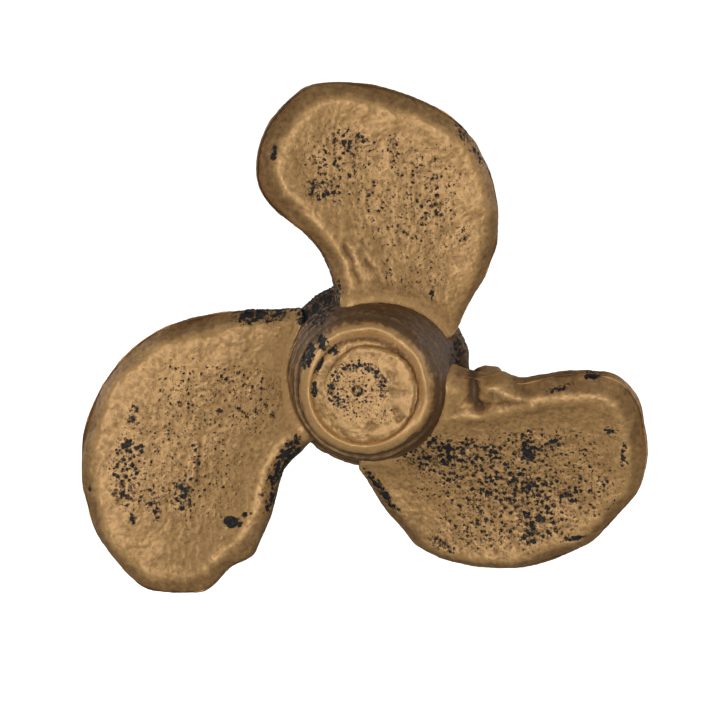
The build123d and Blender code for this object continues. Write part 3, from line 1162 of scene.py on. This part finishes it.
@dataclass
class NoseCap(Casting):
    """The nose cap: a worn disc on a flange that sinks to a groove, with an arc of pits round the plug."""

    groove_radius: float = 9.7
    groove_depth: float = 0.5
    groove_towards: float = 55.0
    disc_centre: float = 1.3
    disc_radius: float = 8.2
    slope_top: float = 26.35
    slope_foot: float = 25.35
    slope_start: float = -1.0
    flange_radius: float = 10.3
    pit_centre: Pair = (-1.0, 0.2)
    pit_radius: float = 4.6
    pit_width: float = 1.25
    pits_towards: float = 100.0
    pits_spread: float = 120.0
    pit_wear: float = 1.02
    arc_fade: float = 18.0
    front_from: Pair = (24.6, 24.95)
    slope_power: float = 1.4
    slope_fade: float = 0.2
    joined_from: Pair = (8.9, 9.7)
    dulled_from: Pair = (-0.6, 1.2)

    def shaped(self, places: Array, normals: Array) -> tuple[Array, dict[str, Array]]:
        """Sinks the groove on one side and fills the disc's foot on the other, and paints shade in the groove
        and on the slope round the disc on that other side.

        Args:
            places: its points, in millimetres.
            normals: their normals.

        Returns:
            As Casting.shaped gives.
        """
        radius, around, _ = round_shaft(places)
        lean = step(*HALF_TURN, towards(around, self.groove_towards))
        front = step(*self.front_from, -places[:, 1]) * step(0.3, 0.8, -normals[:, 1])
        moved = places.copy()
        moved[:, 1] += self.groove_depth * step(8.7, self.groove_radius, radius) * front
        off_disc = np.hypot(places[:, 0] - self.disc_centre, places[:, 2]) - self.disc_radius
        reach = off_disc + self.flange_radius - radius - self.slope_start
        share = np.clip((off_disc - self.slope_start) / np.maximum(reach, 0.5), 0.0, 1.0) ** self.slope_power
        slope = self.slope_top + (self.slope_foot - self.slope_top) * share
        short = np.clip(slope + places[:, 1], 0.0, None) * step(24.4, 24.9, -places[:, 1])
        moved[:, 1] -= short * (1.0 - lean) * step(
            self.slope_start - self.slope_fade, self.slope_start + self.slope_fade, off_disc)
        for fold in self.folds:
            moved[:, 1] -= fold.lift(places) * front
        # Painted shade in the groove
        sunk = step(8.6, 9.3, radius) * step(25.6, 25.0, -places[:, 1]) * lean
        inside = step(24.35, 24.7, -places[:, 1])
        joined = (1.0 - lean) * step(*self.joined_from, radius)
        # Painted shade on the slope round the disc, on the side away from the groove
        slope_shade = 0.30 * (1.0 - lean) * step(*self.dulled_from, off_disc)
        return moved, {"skin": inside * 0.9 * (1.0 - joined), "painted_shade": sunk * 0.9 + slope_shade}

    def worn(self, places: Array, normals: Array) -> Array:
        """The worn paint, with the arc of pits. See Casting.worn."""
        wear = super().worn(places, normals)
        return np.maximum(wear, self.pit_arc(places))

    def from_plug(self, places: Array) -> tuple[Array, Array, Array]:
        """Where points lie round the plug.

        Args:
            places: the points.

        Returns:
            Their offsets from its centre, right and up, their distance from it, and their share of the arc.
        """
        offsets = places[:, (0, 2)] - np.array(self.pit_centre)
        off = np.degrees(np.arctan2(offsets[:, 1], offsets[:, 0])) - self.pits_towards
        off = np.abs((off + 180.0) % 360.0 - 180.0)
        arc = step(self.pits_spread + self.arc_fade, self.pits_spread - self.arc_fade, off)
        return offsets, np.hypot(offsets[:, 0], offsets[:, 1]), arc

    def pit_arc(self, places: Array) -> Array:
        """How pitted each point is round the plug."""
        _, radius, arc = self.from_plug(places)
        return self.pit_wear * hump(radius, self.pit_radius, self.pit_width) * arc


@dataclass
class OilPlug(NoseCap):
    """The oil plug: a round head with a dimple, painted over so that one side of its joint is lost."""

    seal_width: float = 1.5
    seal_lift: float = 0.16
    seal_fall: float = 0.14
    trench_radius: float = 4.2
    trench_depth: float = 0.35
    lip_radius: float = 1.55
    lip_height: float = 0.22
    dimple_wear: float = 1.15
    dimple_edge: Pair = (1.3, 0.8)
    head_from: Pair = (25.7, 26.1)
    seal_from: Pair = (3.0, 4.4)
    fall_from: Pair = (3.7, 4.4)

    def shaped(self, places: Array, normals: Array) -> tuple[Array, dict[str, Array]]:
        """Spreads the head over the painted-over side of the joint.

        Args:
            places: its points, in millimetres.
            normals: their normals.

        Returns:
            As Casting.shaped gives.
        """
        offsets, radius, arc = self.from_plug(places)
        moved = places.copy()
        front = step(*self.head_from, -places[:, 1])
        sunk = self.trench_depth * hump(radius, self.trench_radius, 0.8) * arc
        sunk += self.seal_fall * step(*self.fall_from, radius)
        moved[:, 1] += (sunk - self.seal_lift - self.lip_height * hump(radius, self.lip_radius, 0.45)) * front
        spread = step(*self.seal_from, radius) * self.seal_width * step(25.2, 25.6, -places[:, 1])
        moved[:, (0, 2)] += offsets * (spread / np.maximum(radius, 0.1))[:, None]
        return moved, {"skin": step(25.35, 25.8, -places[:, 1]) * 0.8, "painted_shade": radius * 0.0}

    def worn(self, places: Array, normals: Array) -> Array:
        """The worn paint, with a black dimple. See Casting.worn."""
        _, radius, _ = self.from_plug(places)
        return np.maximum(super().worn(places, normals), self.dimple_wear * step(*self.dimple_edge, radius))


# ---- spindle


@dataclass
class Spindle:
    """The standing parts: they keep their CAD shapes, and the tapped hole gets its thread."""

    thread_radius: float = 2.12
    thread_pitch: float = 0.8
    thread_depth: float = 0.22
    thread_start: float = 0.5
    turns: float = 12.5

    def thread_tree(self) -> bpy.types.NodeTree:
        """Builds the tree of a helical thread about the shaft axis.

        Returns:
            A geometry tree whose sizes, in metres, and finish are named inputs.
        """
        graph, given = sized_tree("helical_thread", ["Radius", "Length", "Turns", "Depth", "Start"])
        helix = graph.wire("GeometryNodeCurveSpiral", inputs={
            "Resolution": 48, "Rotations": given["Turns"], "Start Radius": given["Radius"],
            "End Radius": given["Radius"], "Height": given["Length"]})
        ridge = graph.wire("GeometryNodeCurvePrimitiveCircle", {"mode": "RADIUS"},
                           {"Resolution": 6, "Radius": given["Depth"]})
        swept = graph.wire("GeometryNodeCurveToMesh", inputs={
            "Curve": helix, "Profile Curve": ridge, "Fill Caps": True})
        back = graph.wire("ShaderNodeCombineXYZ", inputs={"Y": given["Start"] * -1.0})
        laid = graph.wire("GeometryNodeTransform", inputs={
            "Geometry": swept, "Translation": back, "Rotation": (math.pi / 2, 0.0, 0.0)})
        return close_tree(graph, laid, given["Finish"])

    def build(self, finish: bpy.types.Material) -> bpy.types.Object:
        """Makes the thread.

        Args:
            finish: its material.

        Returns:
            The finished piece.
        """
        thread = bpy.data.objects.new("tapped_thread", bpy.data.meshes.new("tapped_thread"))
        bpy.context.scene.collection.objects.link(thread)
        run_tree(thread, self.thread_tree(), {
            "Radius": self.thread_radius * MM, "Length": self.turns * self.thread_pitch * MM,
            "Turns": self.turns, "Depth": self.thread_depth * MM, "Start": self.thread_start * MM,
            "Finish": finish})
        finish_piece(thread, Body.STANDING, Slot.STEEL)
        return thread


def dress_node(node: str, finish: bpy.types.Material) -> None:
    """Gives a CAD node that keeps its shape a finish.

    Args:
        node: the node's name.
        finish: its material.
    """
    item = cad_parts[node]
    if not item.material_slots:
        item.data.materials.append(finish)
    for place in item.material_slots:
        place.link = "OBJECT"
        place.material = finish
    log.info("%s: kept, %s", node, finish.name)


# ---- studio


def direction(azimuth: float, elevation: float) -> Vector:
    """The unit vector towards a point at this azimuth and elevation, in degrees."""
    turn, rise = math.radians(azimuth), math.radians(elevation)
    return Vector((math.sin(turn) * math.cos(rise), -math.cos(turn) * math.cos(rise), math.sin(rise)))


@dataclass(frozen=True)
class Softbox:
    """A square soft light that looks at the hub, at an azimuth and elevation in degrees."""

    name: str
    azimuth: float
    elevation: float
    distance_m: float
    side_m: float
    watts: float

    def build(self) -> None:
        """Hangs the light."""
        lamp = bpy.data.lights.new(self.name, "AREA")
        lamp.shape = "SQUARE"
        lamp.size = self.side_m
        lamp.energy = self.watts
        item = bpy.data.objects.new(self.name, lamp)
        bpy.context.scene.collection.objects.link(item)
        way = direction(self.azimuth, self.elevation)
        item.location = Vector((0.0, -BLADE_HEIGHT * MM, 0.0)) + way * self.distance_m
        item.rotation_euler = way.to_track_quat("Z", "Y").to_euler()


@dataclass(frozen=True)
class Studio:
    """A pale floor, soft light from the front and a camera that looks a little down at the nose."""

    azimuth: float = 5.0
    elevation: float = 10.0
    distance_m: float = 0.72
    lens: float = 200.0
    aim_right: float = -1.79
    aim_up: float = 3.35
    floor_drop_m: float = 0.15
    floor_half_m: float = 12.0
    ambient: float = 0.13
    softboxes: tuple[Softbox, ...] = (
        Softbox("key_light", 2.0, -4.0, 0.95, 0.75, 8.2), Softbox("left_fill", -115.0, 20.0, 1.0, 0.7, 2.5),
        Softbox("right_fill", 120.0, 20.0, 1.0, 0.7, 2.5))

    def floor(self, finish: bpy.types.Material) -> None:
        """Lays the floor below the blades' sweep.

        Args:
            finish: its material.
        """
        mesh = bpy.data.meshes.new("floor")
        half, level = self.floor_half_m, -self.floor_drop_m
        corners = [(-half, -half, level), (half, -half, level), (half, half, level), (-half, half, level)]
        mesh.from_pydata(corners, [], [(0, 1, 2, 3)])
        mesh.materials.append(finish)
        item = bpy.data.objects.new("floor", mesh)
        bpy.context.scene.collection.objects.link(item)
        item.visible_diffuse = False
        item.visible_glossy = False

    def world(self) -> None:
        """Sets an even, dim light all round, while the ground itself is seen white."""
        world = bpy.data.worlds.new("studio")
        world.use_nodes = True
        graph = Graph(world.node_tree)
        seen = graph.wire("ShaderNodeLightPath", output="Is Camera Ray")
        dim, white = (graph.wire("ShaderNodeBackground", inputs={
            "Color": (1.0, 1.0, 1.0, 1.0), "Strength": power}) for power in (self.ambient, 1.0))
        both = graph.wire("ShaderNodeMixShader", inputs={0: seen, 1: dim, 2: white})
        graph.node("ShaderNodeOutputWorld", inputs={"Surface": both})
        bpy.context.scene.world = world

    def camera(self) -> None:
        """Sets up the camera, with a long lens that looks a little down at the nose."""
        lens = bpy.data.cameras.new("camera")
        lens.lens = self.lens
        lens.sensor_width = 36.0
        lens.clip_start, lens.clip_end = 0.01, 100.0
        item = bpy.data.objects.new("camera", lens)
        bpy.context.scene.collection.objects.link(item)
        back = direction(self.azimuth, self.elevation)
        rightward = direction(self.azimuth + 90.0, 0.0)
        upward = rightward.cross(-back)
        aim = Vector((0.0, -BLADE_HEIGHT, 0.0)) + rightward * self.aim_right + upward * self.aim_up
        item.location = aim * MM + back * self.distance_m
        item.rotation_euler = back.to_track_quat("Z", "Y").to_euler()
        bpy.context.scene.camera = item

    def build(self) -> None:
        """Makes the whole studio."""
        self.floor(Backdrop().build())
        for softbox in self.softboxes:
            softbox.build()
        self.world()
        self.camera()
        bpy.context.scene.view_settings.view_transform = "Standard"
        log.info("studio: ready")


# ---- this propeller


def blades() -> list[Blade]:
    """The three blades, each with its own wear.

    Returns:
        The blades, ready to build.
    """
    top = Blade(
        "blade_top", angle=84.0, skin=CastSkin(seed=1.7), back_seed=11, back_spots=16,
        rim_ways=(
            (-150.0, 2.3, 0.1), (-90.0, 2.2, 0.15), (-40.0, 2.4, 0.2), (0.0, 2.8, 0.25), (45.0, 3.1, 0.28),
            (90.0, 3.3, 0.25), (130.0, 2.6, 0.2), (165.0, 1.8, 0.1)),
        patches=(
            Patch(-4.2, 39.0, 8.0, 7.4, 0.56), Patch(-3.4, 43.0, 3.8, 2.6, 0.82),
            Patch(3.8, 42.0, 1.5, 2.8, 0.84), Patch(-8.3, 35.0, 3.0, 2.3, 0.9),
            Patch(11.4, 31.0, 4.6, 3.6, 0.64), Patch(16.5, 26.0, 1.6, 2.0, 0.66),
            Patch(11.3, 39.6, 0.9, 0.7, 0.95), Patch(7.2, 32.5, 11.0, 11.0, 0.5),
            Patch(8.5, 21.0, 8.0, 7.0, 0.4), Patch(11.2, 15.9, 0.7, 1.5, 0.95, -15.0),
            Patch(3.4, 19.6, 0.7, 1.4, 0.75), Patch(-16.7, 41.3, 0.6, 1.4, 1.5, -10.0, True),
            Patch(17.5, 42.5, 0.7, 6.0, 0.95, 35.0, True), Patch(-6.4, 15.0, 1.5, 3.6, 1.3, -12.0, True),
            Patch(-7.3, 20.5, 0.7, 3.0, 1.2, 15.0, True)),
        folds=(
            Fold(((-4.9, 24.0), (-3.7, 21.6), (-3.6, 19.6)), 0.8, 0.22),
            Fold(((-3.9, 24.6), (-2.6, 22.4), (-2.4, 20.4), (-1.2, 18.4)), 0.5, -0.26),
            Fold(((-2.0, 22.6), (-0.8, 20.6), (0.8, 19.2)), 0.6, 0.2),
            Fold(((-0.4, 22.0), (0.6, 20.8), (1.6, 20.3)), 0.4, -0.2)),
        nudges=(
            Nudge(-7.8, 22.2, 4.0, -0.5, -0.3), Nudge(-19.1, 34.1, 5.0, -0.4, 0.0),
            Nudge(22.4, 23.0, 4.0, 0.4, -0.1), Nudge(-9.6, 52.0, 4.0, -0.2, 0.3),
            Nudge(19.9, 16.5, 3.0, 0.3, -0.2)))
    left = Blade(
        "blade_left", angle=204.0, skin=CastSkin(seed=3.1), back_seed=12, back_spots=18,
        rim_ways=(
            (-150.0, 2.6, 0.2), (-100.0, 2.9, 0.3), (-50.0, 2.9, 0.28), (-10.0, 2.6, 0.22), (30.0, 2.4, 0.18),
            (70.0, 2.4, 0.12), (110.0, 2.0, 0.05), (150.0, 2.0, 0.1)),
        patches=(
            Patch(-43.8, -14.4, 2.8, 3.2, 0.88), Patch(-44.7, -20.9, 2.5, 3.4, 0.9),
            Patch(-33.8, -21.6, 2.2, 3.6, 0.95), Patch(-40.0, -22.5, 3.6, 3.2, 0.72),
            Patch(-38.6, -25.6, 1.2, 1.5, 0.95), Patch(-43.1, -26.5, 0.8, 1.2, 1.15),
            Patch(-24.7, -25.7, 2.1, 1.0, 1.5), Patch(-21.9, -24.2, 1.3, 0.5, 1.2, 25.0),
            Patch(-31.5, -15.6, 0.6, 3.4, 0.95, 8.0), Patch(-43.2, -8.1, 1.3, 2.3, 0.85),
            Patch(-25.6, -0.2, 3.2, 1.8, 0.62), Patch(-51.0, -21.4, 0.5, 0.6, 1.3),
            Patch(-32.9, -3.0, 8.5, 6.3, 0.5), Patch(-21.7, -4.2, 5.8, 6.3, 0.54),
            Patch(-27.4, -6.6, 0.8, 0.8, 0.95), Patch(-22.6, -6.9, 1.8, 0.9, 0.75),
            Patch(-17.5, -6.6, 0.6, 1.0, 0.9), Patch(-19.0, -19.9, 0.7, 0.9, 1.0),
            Patch(-34.0, -15.0, 13.5, 13.0, 0.46), Patch(-44.0, -18.0, 3.4, 7.5, 0.74),
            Patch(-19.6, 10.6, 5.8, 1.5, 1.3, 8.0, True), Patch(-12.6, 11.2, 1.5, 2.8, 1.3, 20.0, True),
            Patch(-15.2, -14.6, 1.6, 4.8, 1.6, -28.0, True), Patch(-17.7, -21.7, 0.7, 2.6, 1.1, -15.0, True)),
        folds=(
            Fold(((-31.2, -12.4), (-31.8, -18.6)), 0.35, -0.25),),
        nudges=(
            Nudge(-48.1, -28.5, 3.5, -0.6, -0.3), Nudge(-40.4, -37.1, 3.5, -0.4, -0.7),
            Nudge(-29.6, -38.0, 3.5, 0.3, -0.7), Nudge(-20.6, -32.2, 2.6, 0.8, -0.7),
            Nudge(-51.1, -17.0, 6.0, -0.4, 0.0), Nudge(-13.5, -14.0, 3.0, 0.4, -0.5),
            Nudge(-24.8, -35.5, 2.2, -0.3, 0.3)))
    right = Blade(
        "blade_right", angle=324.0, skin=CastSkin(seed=5.3), stub_at=(21.8, 1.4), back_seed=13, back_spots=18,
        rim_ways=(
            (-150.0, 2.2, 0.1), (-100.0, 2.3, 0.15), (-50.0, 2.4, 0.15), (0.0, 2.3, 0.2), (40.0, 2.6, 0.3),
            (80.0, 3.0, 0.4), (120.0, 3.2, 0.35), (160.0, 2.6, 0.2)),
        patches=(
            Patch(10.8, -13.6, 6.0, 4.6, 0.96), Patch(21.7, -11.9, 2.2, 1.2, 0.95),
            Patch(29.1, -11.0, 4.6, 3.4, 0.88), Patch(28.0, -18.5, 4.8, 4.2, 0.9),
            Patch(28.6, -27.5, 2.4, 3.8, 0.92), Patch(35.9, -20.6, 2.6, 2.0, 0.92),
            Patch(37.0, -28.3, 2.2, 0.5, 1.4, 12.0), Patch(42.5, -17.5, 1.6, 1.0, 0.85),
            Patch(45.9, -12.5, 0.8, 2.9, 0.85), Patch(43.4, -7.9, 1.5, 1.2, 0.8),
            Patch(12.5, -31.2, 3.4, 1.2, 0.9, -20.0), Patch(20.0, -30.0, 1.6, 0.9, 0.9),
            Patch(34.2, 0.9, 3.2, 0.6, 0.95, 12.0), Patch(40.3, 3.0, 1.6, 0.7, 1.2, 0.0, True),
            Patch(1.6, -21.4, 0.9, 5.4, 1.3, 33.0, True), Patch(22.5, -18.5, 14.5, 9.5, 0.74),
            Patch(36.0, -17.0, 9.5, 10.0, 0.6), Patch(16.0, -13.0, 7.5, 3.0, 0.92),
            Patch(31.0, -22.0, 6.5, 8.5, 0.8), Patch(20.0, -27.5, 9.0, 4.5, 0.66),
            Patch(28.6, -12.6, 3.0, 2.6, 1.12), Patch(27.6, -18.8, 3.4, 2.2, 1.14),
            Patch(29.0, -27.0, 1.6, 3.6, 1.15), Patch(33.6, -10.4, 2.2, 1.1, 1.0),
            Patch(22.6, -12.4, 1.8, 1.0, 1.05)),
        folds=(
            Fold(((22.2, 0.6), (24.8, 0.0)), 2.0, 1.5),
            Fold(((18.9, 4.0), (18.7, 0.5), (18.9, -2.4), (19.6, -3.6)), 1.25, -1.7),
            Fold(((20.4, -3.6), (24.0, -2.9), (27.5, -1.8)), 1.0, -0.5),
            Fold(((14.6, -6.4), (19.0, -6.0), (24.0, -4.9), (29.5, -3.2)), 1.2, 0.55),
            Fold(((29.5, -3.2), (34.0, -2.2), (38.0, -1.9), (42.0, -3.2)), 1.0, 0.35)),
        nudges=(
            Nudge(39.5, -29.6, 5.5, 0.25, -0.4), Nudge(29.1, -33.9, 6.0, 0.0, -0.4),
            Nudge(46.9, -1.0, 4.0, -0.4, -0.7), Nudge(39.2, 1.4, 4.0, 0.0, -0.6),
            Nudge(32.0, 1.0, 4.0, 0.1, -0.6), Nudge(27.8, 0.1, 2.5, 0.1, -0.7),
            Nudge(50.2, -7.4, 4.0, -0.6, 0.0), Nudge(5.9, -28.5, 4.0, 0.7, 0.5),
            Nudge(48.2, -20.2, 4.0, 0.5, -0.3), Nudge(23.6, 1.6, 2.0, 0.4, 0.6)))
    return [top, left, right]


def nose_parts() -> list[Casting]:
    """The hub, the nose cap and the oil plug.

    Returns:
        The castings, ready to build.
    """
    small_skin = CastSkin(
        lump_size=4.0, lump_height=0.4, dent_size=1.7, dent_height=0.5, pit_spacing=0.55, pit_depth=0.12)
    hub = Hub(
        "hub", voxel=0.27, back_seed=21, back_spots=10, nudges=(Nudge(17.2, 5.2, 3.0, 0.5, 0.2),),
        skin=CastSkin(lump_height=0.4, dent_height=0.3, seed=7.9),
        patches=(
            Patch(-10.6, 12.8, 5.6, 2.5, 1.45, 28.0, True), Patch(15.4, 4.8, 1.3, 2.8, 1.02, 0.0, True),
            Patch(-7.2, 8.4, 1.0, 1.6, 1.6, 35.0, True), Patch(-10.0, 6.0, 1.0, 2.2, 1.6, -20.0, True),
            Patch(-4.0, -14.5, 5.0, 0.6, 0.95, -22.0, True)))
    cap = NoseCap(
        "nose_cap", voxel=0.18, back_seed=22, skin=small_skin,
        patches=(
            Patch(-5.8, 7.7, 1.0, 1.6, 1.6, 35.0), Patch(-8.2, 5.1, 0.9, 2.3, 1.6, -20.0),
            Patch(-8.7, 0.3, 0.6, 1.5, 1.4), Patch(-1.6, 0.0, 5.6, 5.6, 0.6),
            Patch(1.0, -3.5, 5.0, 3.0, 0.5)),
        folds=(
            Fold(((6.0, 4.6), (7.2, 3.4), (7.6, 2.0)), 0.75, 0.55), Fold(((4.4, 3.6), (5.4, 1.6)), 0.8, -0.4),
            Fold(((6.0, -1.6), (7.4, -2.4), (7.8, -3.8)), 0.7, 0.6),
            Fold(((5.6, -3.2), (6.2, -4.6)), 0.7, -0.45), Fold(((1.0, -6.2), (4.0, -5.6)), 0.8, -0.3),
            Fold(((5.2, 0.4), (7.0, 0.2)), 0.6, -0.3), Fold(((-2.4, 6.4), (1.6, 6.6)), 0.7, -0.3)))
    plug = OilPlug(
        "oil_plug", voxel=0.15, back_seed=23, skin=small_skin,
        patches=(
            Patch(-1.6, 0.0, 5.6, 5.6, 0.6), Patch(-3.4, -1.4, 1.8, 1.8, 0.85)))
    return [hub, cap, plug]


def main() -> None:
    """Builds every piece in order."""
    logging.basicConfig(level=logging.INFO, format="%(name)s: %(message)s")
    gold = GoldPaint().build()
    nose_gold = GoldPaint("gold_paint_nose", spacing=0.55).build()
    grey = (0.56, 0.55, 0.53)
    steel = TurnedMetal("turned_steel", grey, (0.20, 0.19, 0.175)).build()
    flange = TurnedMetal("flange_steel", grey, (0.16, 0.15, 0.14), spray_from=11.3).build()
    bronze = TurnedMetal("bearing_bronze", (0.62, 0.40, 0.19), (0.28, 0.16, 0.075), rough=0.38).build()
    fibre = Fibre().build()
    skin_tree = CastSkin.tree()
    for casting in blades():
        casting.build(skin_tree, gold)
    hub, *nose = nose_parts()
    hub.build(skin_tree, gold)
    for casting in nose:
        casting.build(skin_tree, nose_gold)
    Spindle().build(steel)
    dress_node("spindle", flange)
    for node in ("spindle_nut", "split_pin", "blade_pin_top", "blade_pin_left", "blade_pin_right"):
        dress_node(node, steel)
    for node in ("rear_thrust_washer", "front_thrust_washer", "rear_bush", "front_bush"):
        dress_node(node, bronze)
    for node in ("cap_gasket", "plug_washer"):
        dress_node(node, fibre)
    Studio().build()


if __name__ == "__main__":
    main()
